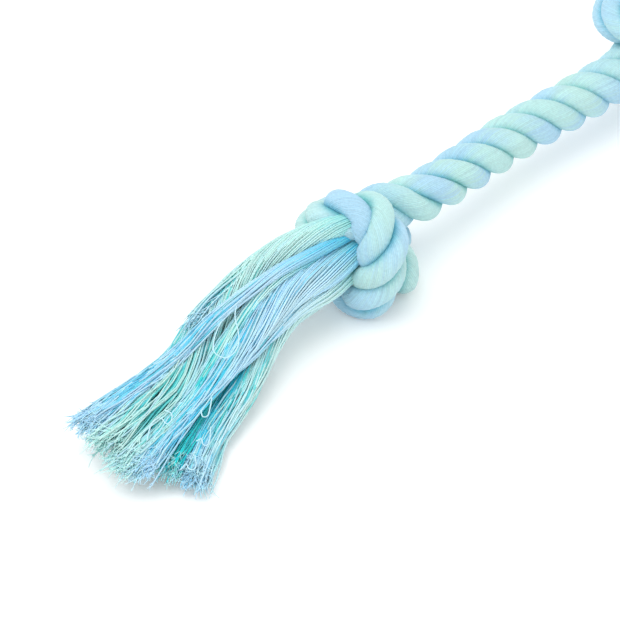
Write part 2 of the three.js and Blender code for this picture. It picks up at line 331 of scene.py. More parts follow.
@dataclass(frozen=True)
class CottonFinish:
    """Soft tie-dyed cotton yarn, with its colours as linear values.

    Attributes:
        slot: The record's slot that the finish belongs to.
        sky: Blue dye on the open yarn.
        mint: Mint dye on the open yarn.
        painted_shade_sky: Colour painted for shade on the blue dye, where light only comes in through other
            yarns.
        painted_shade_mint: Colour painted for shade on the mint dye, where light only comes in through
            other yarns.
        sheen: Weight of the soft rim of loose fibres.
        sheen_roughness: How widely that rim spreads.
        specular: Level of the plain reflection.
        roughness: Mean roughness of the yarn.
        bump_strength: How strongly the fibres' relief is felt.
        bump_height: Height of that relief.
    """

    slot: Slot
    sky: tuple[float, float, float]
    mint: tuple[float, float, float]
    # Colours painted for shade, where light only comes in through other yarns
    painted_shade_sky: tuple[float, float, float] = (0.03, 0.60, 0.86)
    painted_shade_mint: tuple[float, float, float] = (0.02, 0.67, 0.67)
    sheen: float = 0.25
    sheen_roughness: float = 0.5
    specular: float = 0.2
    roughness: float = 0.85
    bump_strength: float = 0.5
    bump_height: float = 0.15 * MM

    def material(self, dye: bpy.types.NodeTree, nap: bpy.types.NodeTree) -> bpy.types.Material:
        """Make the material of this finish.

        Args:
            dye: Node group that turns the dye attributes and the painted shade into colour.
            nap: Node group that gives the twisted fibres' height and roughness.

        Returns:
            A node material that reads the piece's attributes and its yarn texture map.
        """
        cotton = bpy.data.materials.new(self.slot.value)
        cotton.use_nodes = True
        nodes = cotton.node_tree.nodes
        links = cotton.node_tree.links
        shader = nodes["Principled BSDF"]
        shader.inputs["Sheen Weight"].default_value = self.sheen
        shader.inputs["Sheen Roughness"].default_value = self.sheen_roughness
        shader.inputs["Specular IOR Level"].default_value = self.specular
        colour = nodes.new("ShaderNodeGroup")
        colour.node_tree = dye
        for title, value in (("Sky", self.sky), ("Mint", self.mint), ("Painted Shade Sky", self.painted_shade_sky),
                             ("Painted Shade Mint", self.painted_shade_mint)):
            colour.inputs[title].default_value = (*value, 1.0)
        # Painted shade comes in through one of these attributes, and on the strands through the tone as
        # well
        for title in ("mint", "deep", "tone"):
            reader = nodes.new("ShaderNodeAttribute")
            reader.attribute_name = title
            links.new(reader.outputs["Fac"], colour.inputs[f"{title.capitalize()} Share"])
        fibres = nodes.new("ShaderNodeGroup")
        fibres.node_tree = nap
        fibres.inputs["Mean Roughness"].default_value = self.roughness
        bump = nodes.new("ShaderNodeBump")
        bump.inputs["Strength"].default_value = self.bump_strength
        bump.inputs["Distance"].default_value = self.bump_height
        links.new(colour.outputs["Colour"], shader.inputs["Base Color"])
        links.new(fibres.outputs["Roughness"], shader.inputs["Roughness"])
        links.new(fibres.outputs["Height"], bump.inputs["Height"])
        links.new(bump.outputs["Normal"], shader.inputs["Normal"])
        return cotton


@dataclass(frozen=True)
class Noise:
    """Noise in the cotton: its scale per metre, its octaves and how far it is felt."""

    scale: float
    octaves: float
    weight: float


class NodeGroup:
    """A shader node group under construction, with helpers for its sockets and sums."""

    # The Mix node's sockets for colours, which come after those for numbers and vectors
    MIX_SHARE, MIX_FIRST, MIX_SECOND, MIX_RESULT = 0, 6, 7, 2
    NOISE_MEAN = 0.5

    def __init__(self, name: str) -> None:
        """Start an empty group."""
        self.tree = bpy.data.node_groups.new(name, "ShaderNodeTree")
        self.inside = self.tree.nodes.new("NodeGroupInput")
        self.outside = self.tree.nodes.new("NodeGroupOutput")

    def takes(self, title: str, kind: str) -> None:
        """Add an input socket of a kind such as NodeSocketFloat."""
        self.tree.interface.new_socket(title, in_out="INPUT", socket_type=kind)

    def gives(self, title: str, kind: str, source: bpy.types.NodeSocket) -> None:
        """Add an output socket and link its source."""
        self.tree.interface.new_socket(title, in_out="OUTPUT", socket_type=kind)
        self.tree.links.new(source, self.outside.inputs[title])

    def entry(self, title: str) -> bpy.types.NodeSocket:
        """Give the socket through which an input comes in."""
        return self.inside.outputs[title]

    def feed(self, socket: bpy.types.NodeSocket, value: object) -> None:
        """Link a socket to another, or set its number or vector."""
        if isinstance(value, bpy.types.NodeSocket):
            self.tree.links.new(value, socket)
        else:
            socket.default_value = value

    def math(self, operation: str, *values: object) -> bpy.types.NodeSocket:
        """Work out one sum of sockets and numbers.

        Args:
            operation: Math node's operation.
            values: Its inputs in order.

        Returns:
            The result's socket.
        """
        node = self.tree.nodes.new("ShaderNodeMath")
        node.operation = operation
        for socket, value in zip(node.inputs, values):
            self.feed(socket, value)
        return node.outputs[0]

    def mix(self, share: object, first: object, second: object,
            blend: str = "MIX") -> bpy.types.NodeSocket:
        """Mix two colours.

        Args:
            share: Share of the second colour.
            first: First colour.
            second: Second colour.
            blend: Mix node's way of mixing.

        Returns:
            The mixed colour's socket.
        """
        node = self.tree.nodes.new("ShaderNodeMix")
        node.data_type = "RGBA"
        node.blend_type = blend
        node.clamp_factor = True
        for index, value in ((self.MIX_SHARE, share), (self.MIX_FIRST, first), (self.MIX_SECOND, second)):
            self.feed(node.inputs[index], value)
        return node.outputs[self.MIX_RESULT]

    def noise(self, vector: bpy.types.NodeSocket, noise: Noise) -> bpy.types.NodeSocket:
        """Read a noise texture at a place, from 0 to 1."""
        node = self.tree.nodes.new("ShaderNodeTexNoise")
        node.inputs["Scale"].default_value = noise.scale
        node.inputs["Detail"].default_value = noise.octaves
        self.tree.links.new(vector, node.inputs["Vector"])
        return node.outputs["Fac"]

    def stirred(self, title: str, source: bpy.types.NodeSocket, weight: float) -> bpy.types.NodeSocket:
        """Shift an input by a noise about its mean, as input + weight * (noise - mean).

        Args:
            title: The input.
            source: The noise's socket.
            weight: How far the noise is felt.

        Returns:
            The shifted number's socket.
        """
        about_mean = self.math("SUBTRACT", source, self.NOISE_MEAN)
        return self.math("MULTIPLY_ADD", about_mean, weight, self.entry(title))


@dataclass(frozen=True)
class Grain:
    """Unevenness that all the cotton shares, in its dye and in its fibres.

    Attributes:
        blotch: Noise that shifts the dye between sky and mint.
        fleck: Noise that lightens and darkens the yarn.
        fuzz: Noise of loose fibres, with its weight in the roughness.
        ply_length: Way along a yarn in which a ply goes once round.
        ply: Height of the plies beside the fuzz.
    """

    blotch: Noise = Noise(300.0, 3.0, 0.5)
    fleck: Noise = Noise(1400.0, 2.0, 0.25)
    fuzz: Noise = Noise(2600.0, 3.0, 0.2)
    ply_length: float = 1.3 * MM
    ply: float = 0.25

    def dye_and_shade_group(self) -> bpy.types.NodeTree:
        """Build the tie-dye: sky and mint by share, painted shade in the grooves, mottled, and toned by
        yarn.

        Returns:
            The node group, with a Colour output.
        """
        group = NodeGroup("tie_dye_and_painted_shade")
        for title in ("Sky", "Mint", "Painted Shade Sky", "Painted Shade Mint"):
            group.takes(title, "NodeSocketColor")
        for title in ("Mint Share", "Deep Share", "Tone Share"):
            group.takes(title, "NodeSocketFloat")
        place = group.tree.nodes.new("ShaderNodeTexCoord").outputs["Object"]
        share = group.stirred("Mint Share", group.noise(place, self.blotch), self.blotch.weight)
        open_yarn = group.mix(share, group.entry("Sky"), group.entry("Mint"))
        # Painted shade: the shaded colours darken and saturate the yarn by the painted shade share
        painted_shade_yarn = group.mix(share, group.entry("Painted Shade Sky"), group.entry("Painted Shade Mint"))
        colour = group.mix(group.entry("Deep Share"), open_yarn, painted_shade_yarn)
        tone = group.stirred("Tone Share", group.noise(place, self.fleck), self.fleck.weight)
        gain = group.math("ADD", tone, 1.0)
        grey = group.tree.nodes.new("ShaderNodeCombineColor")
        for socket in grey.inputs:
            group.feed(socket, gain)
        group.gives("Colour", "NodeSocketColor", group.mix(1.0, colour, grey.outputs[0], "MULTIPLY"))
        return group.tree

    def nap_group(self) -> bpy.types.NodeTree:
        """Build the twisted fibres: slanting plies along each yarn, broken up by fine fuzz.

        Returns:
            The node group, with Height and Roughness outputs.
        """
        group = NodeGroup("cotton_nap")
        group.takes("Mean Roughness", "NodeSocketFloat")
        coordinates = group.tree.nodes.new("ShaderNodeTexCoord")
        split = group.tree.nodes.new("ShaderNodeSeparateXYZ")
        group.tree.links.new(coordinates.outputs["UV"], split.inputs[0])
        along = group.math("MULTIPLY", split.outputs[0], TURN / self.ply_length)
        slant = group.math("MULTIPLY_ADD", split.outputs[1], TURN, along)
        fuzz = group.noise(coordinates.outputs["Object"], self.fuzz)
        height = group.math("MULTIPLY_ADD", group.math("SINE", slant), self.ply, fuzz)
        group.gives("Height", "NodeSocketFloat", height)
        rough = group.stirred("Mean Roughness", fuzz, self.fuzz.weight)
        group.gives("Roughness", "NodeSocketFloat", rough)
        return group.tree


class Cotton:
    """The toy's three cotton finishes, made once and given to its pieces."""

    FINISHES = (
        CottonFinish(Slot.SKY, sky=(0.53, 0.80, 0.99), mint=(0.63, 0.92, 0.88)),
        CottonFinish(Slot.MINT, sky=(0.54, 0.81, 0.99), mint=(0.64, 0.92, 0.89)),
        CottonFinish(Slot.AQUA, sky=(0.52, 0.80, 0.98), mint=(0.62, 0.91, 0.89)),
    )

    def __init__(self) -> None:
        """Make the shared node groups and the materials."""
        grain = Grain()
        dye = grain.dye_and_shade_group()
        nap = grain.nap_group()
        self.materials = [finish.material(dye, nap) for finish in self.FINISHES]

    def dress(self, pieces: list[bpy.types.Object], strand: int) -> list[bpy.types.Object]:
        """Give pieces the finish of their strand, whose material is named after the slot, and hand them on.
        """
        for piece in pieces:
            piece.data.materials.append(self.materials[strand])
        return pieces


@dataclass(frozen=True)
class StrandLook:
    """How a strand's surface differs from a plain tube, in relief, painted shade and tone.

    Attributes:
        seed: Start of the random draws.
        yarn_spread: Spread of the yarns' heights, in groove depths.
        swell: Share of the radius by which a strand swells along it, and a radian's length of the wave.
        lump: The same for lumps that also change round it.
        settle: How softly a strand lies down on the floor.
        dye_slip: Spread of the dye's place from yarn to yarn, in millimetres.
        crease: Angles from the strand's outside at which the painted shade of a crease starts and is full.
        pressed: Distances to another pass's line at which painted shade between passes is full, and gone.
        crease_painted_shade: Painted shade in a crease.
        pressed_painted_shade: Painted shade between passes that press on each other.
        groove_painted_shade: Painted shade between yarns.
        opened_painted_shade: Painted shade for each share of its size that a strand has lost at its end.
        tone: Mean tone.
        tone_spread: Spread of the tone from yarn to yarn.
        painted_crease_darkening: Painted darkening in a crease or between passes.
    """

    seed: int = 40
    yarn_spread: float = 0.25
    swell: tuple[float, float] = (0.012, 7.3 * MM)
    lump: tuple[float, float] = (0.008, 3.1 * MM)
    settle: float = 1.2 * MM
    dye_slip: float = 1.2
    crease: tuple[float, float] = (0.9, 2.15)
    pressed: tuple[float, float] = (7.0 * MM, 9.2 * MM)
    # Painted shade in creases, where passes touch, between yarns and where a strand opens
    crease_painted_shade: float = 0.85
    pressed_painted_shade: float = 0.9
    groove_painted_shade: float = 0.22
    opened_painted_shade: float = 1.6
    tone: float = -0.15
    tone_spread: float = 0.025
    painted_crease_darkening: float = 0.2


@dataclass
class LaidRope:
    """The three strands, from the mouth of one tassel through both knots to the other.

    Attributes:
        diameter: Rope over its strands.
        lay_near: Way along the rope in which a strand goes once round it, at the near knot.
        lay_far: The same at the far knot, where the rope is laid harder.
        lay_knot: The same in a knot.
        knot_reach: How far a knot's packed passes reach along X from its middle.
        easing: Way over which the lay goes over from the open rope's to the knot's.
        lay_start: Strand 1's angle at the line's start.
        knot_spacing: Between the knots' middles.
        pass_spacing: Between neighbouring passes of a knot.
        far_settle: How far the far knot lies below the near one turned over.
        tail_run: From a knot's middle to the line's end.
        sag: How far the rope hangs down half-way.
        bow: How far it bows sideways half-way.
        lift: Height of the line over the floor.
        shift: Offset of the line's middle in the frame.
        offset_share: Strand's offset from the rope's line, in rope diameters.
        strand_share: Strand's radius in rope diameters.
        yarns: Yarns that show round a strand.
        yarn_columns: Mesh columns for each yarn.
        yarn_depth: Depth of the grooves between yarns.
        over_turn: Turn of the yarns round a strand, in the turns that would lay them along the rope.
        pitch: Mesh rows' distance along the rope.
        bend_start: Where a bend at a knot begins, from the middle along X. Not used.
        bend_end: Where it ends. Not used.
        split: Where a knot's strands go over into the middle strands.
        twist_reach: How far the twist of the middle spreads each way. Not used.
        mouth: From a knot's middle to where its strands go over into the tassel.
        overlap: How far they run on there between the tassel's yarns.
        opening: Ways inward from the mouth at which a strand has opened into yarns, and is still whole.
        opened_share: Share of its size that is left of it where it has opened.
        curve_steps: Steps of the curve between two points of the line.
        open_share: Share of the way to the knots in which the rope's X only grows.
        pass_run: Points nearer along the line than this many pass spacings belong to one pass.
        pass_step: Step between the line's points to which other passes are measured.
        look: Relief, painted shade and tone of the strands.
        line: Points of the rope's line.
        normal: Cross direction carried along it.
        side: Cross direction square to that.
        run: Way along the line.
        angle: Strand 1's angle from the normal.
        surfaces: Whole surfaces of the strands.
    """

    diameter: float = 16.0 * MM
    lay_near: float = 37.0 * MM
    lay_far: float = 27.0 * MM
    lay_knot: float = 29.0 * MM
    knot_reach: float = 13.42 * MM
    easing: float = 9.0 * MM
    lay_start: float = np.radians(110.0)
    knot_spacing: float = 128.0 * MM
    pass_spacing: float = 12.2 * MM
    far_settle: float = 2.5 * MM
    tail_run: float = 39.0 * MM
    sag: float = 1.5 * MM
    bow: float = 2.0 * MM
    lift: float = 20.57 * MM
    shift: tuple[float, float] = (0.30 * MM, 0.07 * MM)
    offset_share: float = 0.265
    strand_share: float = 0.242
    yarns: int = 34
    yarn_columns: int = 4
    yarn_depth: float = 0.15 * MM
    over_turn: float = 1.2
    pitch: float = 0.85 * MM
    bend_start: float = 43.0 * MM
    bend_end: float = 31.0 * MM
    split: float = 19.0 * MM
    twist_reach: float = 15.0 * MM
    mouth: float = 17.0 * MM
    overlap: float = 3.0 * MM
    opening: tuple[float, float] = (-2.0 * MM, 5.0 * MM)
    opened_share: float = 0.5
    curve_steps: int = 60
    open_share: float = 0.6
    pass_run: float = 1.7
    pass_step: int = 2
    look: StrandLook = StrandLook()
    line: np.ndarray = field(init=False)
    normal: np.ndarray = field(init=False)
    side: np.ndarray = field(init=False)
    run: np.ndarray = field(init=False)
    angle: np.ndarray = field(init=False)
    surfaces: list[Tubes] = field(init=False)

    # The knot's passes in pass spacings from its middle: from the tassel's mouth at -X, once round the rope
    # and through the loop, to the rope that goes on at +X
    KNOT = np.array([
        [-1.40, -0.08, -0.01], [-0.92, -0.20, -0.08], [-0.40, -0.44, -0.22], [-0.10, -0.70, -0.64],
        [0.03, -0.72, -1.08], [0.37, -0.26, -1.23], [0.76, 0.38, -1.04], [0.60, 1.04, -0.80],
        [-0.10, 1.31, -0.55], [-0.82, 1.06, -0.26], [-1.05, 0.68, 0.32], [-0.92, 0.14, 0.95],
        [-0.56, -0.42, 0.99], [-0.62, -0.90, 0.76], [-0.80, -1.13, 0.32], [-0.94, -1.10, -0.36],
        [-1.08, -0.84, -1.02], [-0.84, 0.02, -1.20], [-0.26, 0.40, -0.70], [0.28, 0.42, -0.02],
        [0.86, 0.20, 0.12], [1.45, 0.02, 0.06],
    ])

    # Half a turn about Y, which brings the near knot to the far end
    TURNED_OVER = np.array([-1.0, 1.0, -1.0])

    # Mint share by millimetre along the line, strand by strand
    DYE = (
        ((0, .8), (30, .4), (60, 1), (80, .3), (97, .9), (108, 0), (122, 0), (136, .9), (141, .8),
         (147, .3), (153, 0), (170, .3), (186, .6), (196, .2), (210, .25), (217, 1), (221, .7),
         (226, 0), (235, .3), (243, 1), (249, .7), (255, 0), (262, .1), (274, 1), (280, .6), (287, 0),
         (305, .7), (325, 0), (350, 1), (375, .2), (400, .9), (421, .1), (440, .9), (465, .1),
         (494, .8)),
        ((0, .1), (25, .3), (43, 1), (50, .8), (57, .2), (70, .4), (92, .9), (102, 1), (111, .6),
         (121, .2), (128, 0), (133, .2), (138, .8), (144, 1), (156, .5), (176, .6), (198, 1), (206, 0),
         (213, 1), (222, .5), (232, 0), (238, .7), (242, 1), (250, 1), (258, .3), (263, 0), (270, 1),
         (274, .8), (279, 0), (297, .8), (320, .1), (345, .9), (365, 0), (390, 1), (410, .2),
         (432, .9), (455, 0), (480, .7), (494, .2)),
        ((0, .9), (20, .6), (42, .3), (57, .4), (64, 0), (84, .8), (96, 1), (104, 1), (113, .9),
         (121, 1), (126, .9), (131, .4), (136, 0), (143, 0), (149, .3), (155, 0), (160, 0), (172, .4),
         (187, 0), (194, .7), (200, 1), (208, .7), (216, .2), (221, 0), (228, .9), (233, 1), (241, .9),
         (250, .5), (256, 1), (263, .9), (269, 0), (277, .1), (290, .8), (310, .1), (335, 1),
         (360, .2), (385, .9), (405, .6), (417, 0), (425, .1), (433, .9), (450, .2), (475, .9),
         (494, .1)),
    )

    def __post_init__(self) -> None:
        """Lay the line through both knots, and the strands' angles along it."""
        half = np.array([self.knot_spacing / 2, 0.0, 0.0])
        knot = self.KNOT * self.pass_spacing
        near = knot - half
        far = (knot * self.TURNED_OVER)[::-1] + half - self.far_settle * UP
        middle = (near[-1] + far[0]) / 2 + np.array([0.0, self.bow, -self.sag])
        start = np.array([-half[0] - self.tail_run, *near[0, 1:]])
        end = np.array([half[0] + self.tail_run, *far[-1, 1:]])
        points = np.vstack([start, near, middle, far, end])
        place = np.array([*self.shift, self.lift])
        self.line = evenly(curve_through(points, self.curve_steps), self.pitch) + place
        self.normal, self.side = carried_frames(self.line)
        self.run = run_length(self.line)
        along = np.clip(self.line[:, 0] / self.knot_spacing + 0.5, 0.0, 1.0)
        lay = self.lay_near + (self.lay_far - self.lay_near) * along
        from_knot = np.abs(np.abs(self.line[:, 0]) - half[0])
        leaving = smoothstep(from_knot, self.knot_reach, self.knot_reach + self.easing)
        lay += (self.lay_knot - lay) * (1.0 - leaving)
        turned = np.cumsum(TURN * np.diff(self.run) / lay[1:])
        self.angle = self.lay_start + np.concatenate([[0.0], turned])
        self.surfaces = [self.surface(strand) for strand in range(STRANDS)]

    def stretch(self, first: float, last: float) -> np.ndarray:
        """List the line's points between two places.

        Args:
            first: Way along the line where the stretch starts.
            last: Way along the line where it ends.

        Returns:
            Point numbers, in order.
        """
        spare = self.pitch / 2
        return np.flatnonzero((self.run >= first - spare) & (self.run <= last + spare))

    def run_at(self, x: float) -> float:
        """Find the way along the line of its open stretch at an X between the knots."""
        between = self.open_stretch()
        return float(np.interp(x, self.line[between, 0], self.run[between]))

    def open_stretch(self) -> np.ndarray:
        """List the points of the rope between the knots, where X only grows."""
        middle = int(np.argmin(np.abs(self.run - self.run[-1] / 2)))
        reach = int(self.knot_spacing / 2 / self.pitch * self.open_share)
        return np.arange(middle - reach, middle + reach)

    def opened(self) -> np.ndarray:
        """Give the strands' size along the line, as a share that falls where they open into yarns."""
        ends = np.minimum(self.run, self.run[-1] - self.run) - self.tail_run + self.mouth
        return self.opened_share + (1.0 - self.opened_share) * smoothstep(ends, *self.opening)

    def nearest_pass(self, points: np.ndarray) -> np.ndarray:
        """Measure how near a strand's surface comes to the line of any other pass of the rope.

        Squared distances come from |p|^2 + |q|^2 - 2 p.q for every pair of a surface point and a line
        point. Pairs that follow on from each other along the line are left out.

        Args:
            points: Surface points by row of the line and column.

        Returns:
            Distances by row and column.
        """
        middle = self.line.mean(axis=0)
        line = (self.line[::self.pass_step] - middle).astype(np.float32)
        place = (points - middle).astype(np.float32)
        lengths = np.sum(place * place, axis=-1)[..., None] + np.sum(line * line, axis=-1)
        along = np.abs(self.run[:, None] - self.run[None, ::self.pass_step])
        follows = along < self.pass_run * self.pass_spacing
        out_of_reach = np.float32(1.0)
        squares = np.where(follows[:, None], out_of_reach, lengths - 2 * place @ line.T)
        return np.sqrt(np.maximum(squares.min(axis=-1), 0.0))

    def surface(self, strand: int) -> Tubes:
        """Make the whole surface of one strand.

        The strand's line winds round the rope's. Its section is a circle whose radius rises over each yarn
        as |sin|. The columns follow the yarns, which turn back round the strand somewhat faster than they
        would need to lie along the rope on its outside.

        Args:
            strand: Strand's number from 0.

        Returns:
            One tube, with a row for each point of the rope's line.
        """
        look = self.look
        opened = self.opened()[:, None]
        radius = self.strand_share * self.diameter
        offset = self.offset_share * self.diameter
        angle = (self.angle + strand * TURN / STRANDS)[:, None]
        outward = self.normal * np.cos(angle) + self.side * np.sin(angle)
        centre = self.line + outward * offset * opened
        tangent = unit(np.gradient(centre, axis=0))
        outward = unit(outward - tangent * dot(tangent, outward))
        across = np.cross(tangent, outward)
        column = np.arange(self.yarns * self.yarn_columns)
        lane = column / self.yarn_columns
        back_turn = self.over_turn * (offset + radius) / radius
        turned = lane / self.yarns * TURN - back_turn * (self.angle - self.lay_start)[:, None]
        draws = np.random.default_rng(look.seed + strand).normal(0.0, 1.0, (3, self.yarns))
        yarn_lift, yarn_tone, yarn_slip = draws[:, column // self.yarn_columns]
        groove = np.abs(np.sin(np.pi * lane))
        (swell, swell_run), (lump, lump_run) = look.swell, look.lump
        wave = swell * np.sin(self.run / swell_run + strand)[:, None]
        wave = wave + lump * np.sin(self.run / lump_run + 2 * strand)[:, None] * np.cos(turned)
        relief = self.yarn_depth * (groove * (1.0 + look.yarn_spread * yarn_lift) - 1.0)
        reach = (radius * (1.0 + wave) + relief) * opened
        ring = outward[:, None] * np.cos(turned)[..., None] + across[:, None] * np.sin(turned)[..., None]
        points = settled(centre[:, None] + ring * reach[..., None], look.settle)
        dye = np.array(self.DYE[strand])
        mint = smooth_line(dye[:, 0], dye[:, 1], self.run[:, None] / MM + look.dye_slip * yarn_slip)
        # Painted shade: darker colour in creases, where passes touch, between yarns and where the strand
        # opens
        turned_away = np.abs((turned + np.pi) % TURN - np.pi)
        crease = smoothstep(turned_away, *look.crease)
        pressed = 1.0 - smoothstep(self.nearest_pass(points), *look.pressed)
        deep = np.maximum(look.crease_painted_shade * crease, look.pressed_painted_shade * pressed)
        deep = deep + look.groove_painted_shade * (1.0 - groove) + look.opened_painted_shade * (1.0 - opened)
        # Painted shade also darkens the tone in creases and where passes touch
        tone = look.tone_spread * yarn_tone + look.tone - look.painted_crease_darkening * np.maximum(crease, pressed)
        round_way = np.roll(points, -1, axis=1) - np.roll(points, 1, axis=1)
        normals = unit(np.cross(round_way, np.gradient(points, axis=0)))
        return Tubes(points[None], mint[None], np.clip(deep, 0.0, 1.0)[None], tone[None], self.run[None],
                     self.yarns, normals=normals[None])

    def tubes(self, strand: int, first: float, last: float) -> Tubes:
        """Take the stretch of one strand's surface between two places on the line."""
        return self.surfaces[strand].rows(self.stretch(first, last))

    def knot_strand(self, end: End, strand: int) -> bpy.types.Object:
        """Make one strand of a knot, with the rope that leads out of it."""
        leave = self.run_at(end.way * self.split)
        inside = self.tail_run - self.mouth - self.overlap
        spans = {End.NEAR: (inside, leave), End.FAR: (leave, self.run[-1] - inside)}
        piece = self.tubes(strand, *spans[end]).build(f"{end.label}_knot_cotton_{strand + 1}")
        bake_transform(piece)
        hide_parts(f"{end.label}_knot_strand_{strand + 1}")
        return piece

    def middle_strand(self, strand: int) -> bpy.types.Object:
        """Make one strand of the open rope, between the rope's halves."""
        first, last = self.run_at(-self.split), self.run_at(self.split)
        piece = self.tubes(strand, first, last).build(f"rope_cotton_{strand + 1}")
        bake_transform(piece)
        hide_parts(f"rope_near_strand_{strand + 1}", f"rope_far_strand_{strand + 1}")
        return piece

    def pieces(self, cotton: Cotton) -> list[bpy.types.Object]:
        """Make and dress all the strands.

        Args:
            cotton: The finishes.

        Returns:
            The pieces, strand by strand.
        """
        made = []
        for strand in range(STRANDS):
            parts = [self.knot_strand(end, strand) for end in End] + [self.middle_strand(strand)]
            made += cotton.dress(parts, strand)
        return made


@dataclass(frozen=True)
class Lock:
    """One lock of a tassel's yarns, placed in the tail's section at Tassel.STATIONS.

    Attributes:
        strand: Strand that its yarns come from, from 0.
        yarns: Yarns in it.
        tip: Reach of its tips from the knot's middle, in millimetres.
        twist: Angle that its yarns turn about the lock, in radians.
        across: From the tail's upper edge in the photograph, -1, to its lower edge, 1.
        towards: From its far side, -1, to the side that faces the camera, 1.
        width: Radius of the lock, in half sections.
        mint: Share of mint.
        deep: How far other locks keep the light off it.
    """

    strand: int
    yarns: int
    tip: float
    twist: float
    across: tuple[float, ...]
    towards: tuple[float, ...]
    width: tuple[float, ...]
    mint: tuple[float, ...]
    deep: tuple[float, ...] = (.6, 0, 0, 0, 0, 0)


@dataclass(frozen=True)
class Wander:
    """How yarns leave the even course of their lock, with lengths in millimetres.

    Attributes:
        fill: Power that fills the lock's disc, below 0.5 to set more yarns near its rim.
        twist_reach: Reaches between which the lock's twist builds up.
        tip_spread: Spread of the tips' reach.
        ragged: How far neighbouring tips step back together.
        ragged_turn: Angle of those steps from yarn to yarn, in radians.
        stray: Spread of the yarns' places at the tips, in half sections.
        stray_reach: Reaches between which they stray.
        sway: Height of the yarns' waves across and towards the camera, in half sections.
        sway_reach: Reaches between which the waves build up.
        waves: A radian's length of the waves, two across and two towards the camera.
        settle: How softly the yarns lie down on the floor, in metres.
    """

    fill: float = 0.42
    twist_reach: tuple[float, float] = (6.0, 92.0)
    tip_spread: float = 2.2
    ragged: float = 1.8
    ragged_turn: float = 0.9
    stray: float = 0.05
    stray_reach: tuple[float, float] = (30.0, 125.0)
    sway: tuple[float, float] = (0.026, 0.052)
    sway_reach: tuple[float, float] = (20.0, 100.0)
    waves: tuple[float, ...] = (4.1, 6.3, 4.7, 7.1)
    settle: float = 0.8 * MM


@dataclass(frozen=True)
class BundleShade:
    """How much painted shade, how much mint and what tone the yarns of a lock have.

    Attributes:
        core: Painted shade inside the lock.
        core_ring: Shares of the lock's radius between which that ends.
        middle: Painted shade in the tail's middle.
        tip_reach: Way from its tip in which a yarn comes clear of the bundle, in millimetres.
        tip_clear: Share of the painted shade that is gone at the tip.
        covered: Places towards the camera between which the lock's own painted shade comes in.
        mint_spread: Spread of the mint share from yarn to yarn.
        tone: Mean of the yarns' tone, and its spread.
    """

    core: float = 0.75
    core_ring: tuple[float, float] = (0.66, 0.9)
    middle: float = 0.5
    tip_reach: float = 14.0
    tip_clear: float = 0.8
    covered: tuple[float, float] = (-0.8, -0.1)
    mint_spread: float = 0.22
    tone: tuple[float, float] = (0.03, 0.05)


@dataclass(frozen=True)
class CoreFill:
    """How much thicker the yarns inside a lock are drawn, because they fill it.

    Attributes:
        section: Half section by which the depth below the lock's rim is judged.
        cover: Depth below the rim at which the gain starts.
        most: Most that a radius gains.
        taper: Ways from the tip at which the gain starts to fall, and has gone, in millimetres.
    """

    section: float = 12.0 * MM
    cover: float = 0.7 * MM
    most: float = 0.4 * MM
    taper: tuple[float, float] = (40.0, 14.0)


@dataclass(frozen=True)
class Fray:
    """Fine plies into which the tip of a yarn opens.

    Attributes:
        seed: Start of the random draws, beyond the tassel's own.
        plies: Plies of a yarn.
        steps: Mesh steps along a ply.
        spread: Spread of the plies' directions, and of their curl.
        length: Shortest and longest ply.
        root: How far back from the yarn's tip the plies start.
        radius: Radius of a ply at its root.
        taper: Share of it that is gone at the ply's tip.
        settle: How softly the plies lie down on the floor.
        deep: Share of the yarn's painted shade that they keep.
        tone: How much lighter they are than the yarn.
    """

    seed: int = 50
    plies: int = 3
    steps: int = 3
    spread: float = 0.22
    length: tuple[float, float] = (1.5 * MM, 4.5 * MM)
    root: float = 1.5 * MM
    radius: float = 0.18 * MM
    taper: float = 0.4
    settle: float = 0.5 * MM
    deep: float = 0.3
    tone: float = 0.13


@dataclass(frozen=True)
class Thread:
    """A single thread that has come loose on the tassel's face.

    Attributes:
        radius: Its radius.
        sides: Corners of its section.
        curve_steps: Steps of the curve between two of its points.
        pitch: Distance at which the curve is spaced out evenly.
        rows: Mesh rows along it.
        strand: Strand whose finish it has, from 0.
        settle: How softly it lies down on the floor.
        mint: Share of mint.
        tone: How much lighter it is than plain cotton.
    """

    radius: float = 0.2 * MM
    sides: int = 4
    curve_steps: int = 12
    pitch: float = 1.0 * MM
    rows: int = 26
    strand: int = 0
    settle: float = 0.5 * MM
    mint: float = 0.4
    tone: float = 0.05


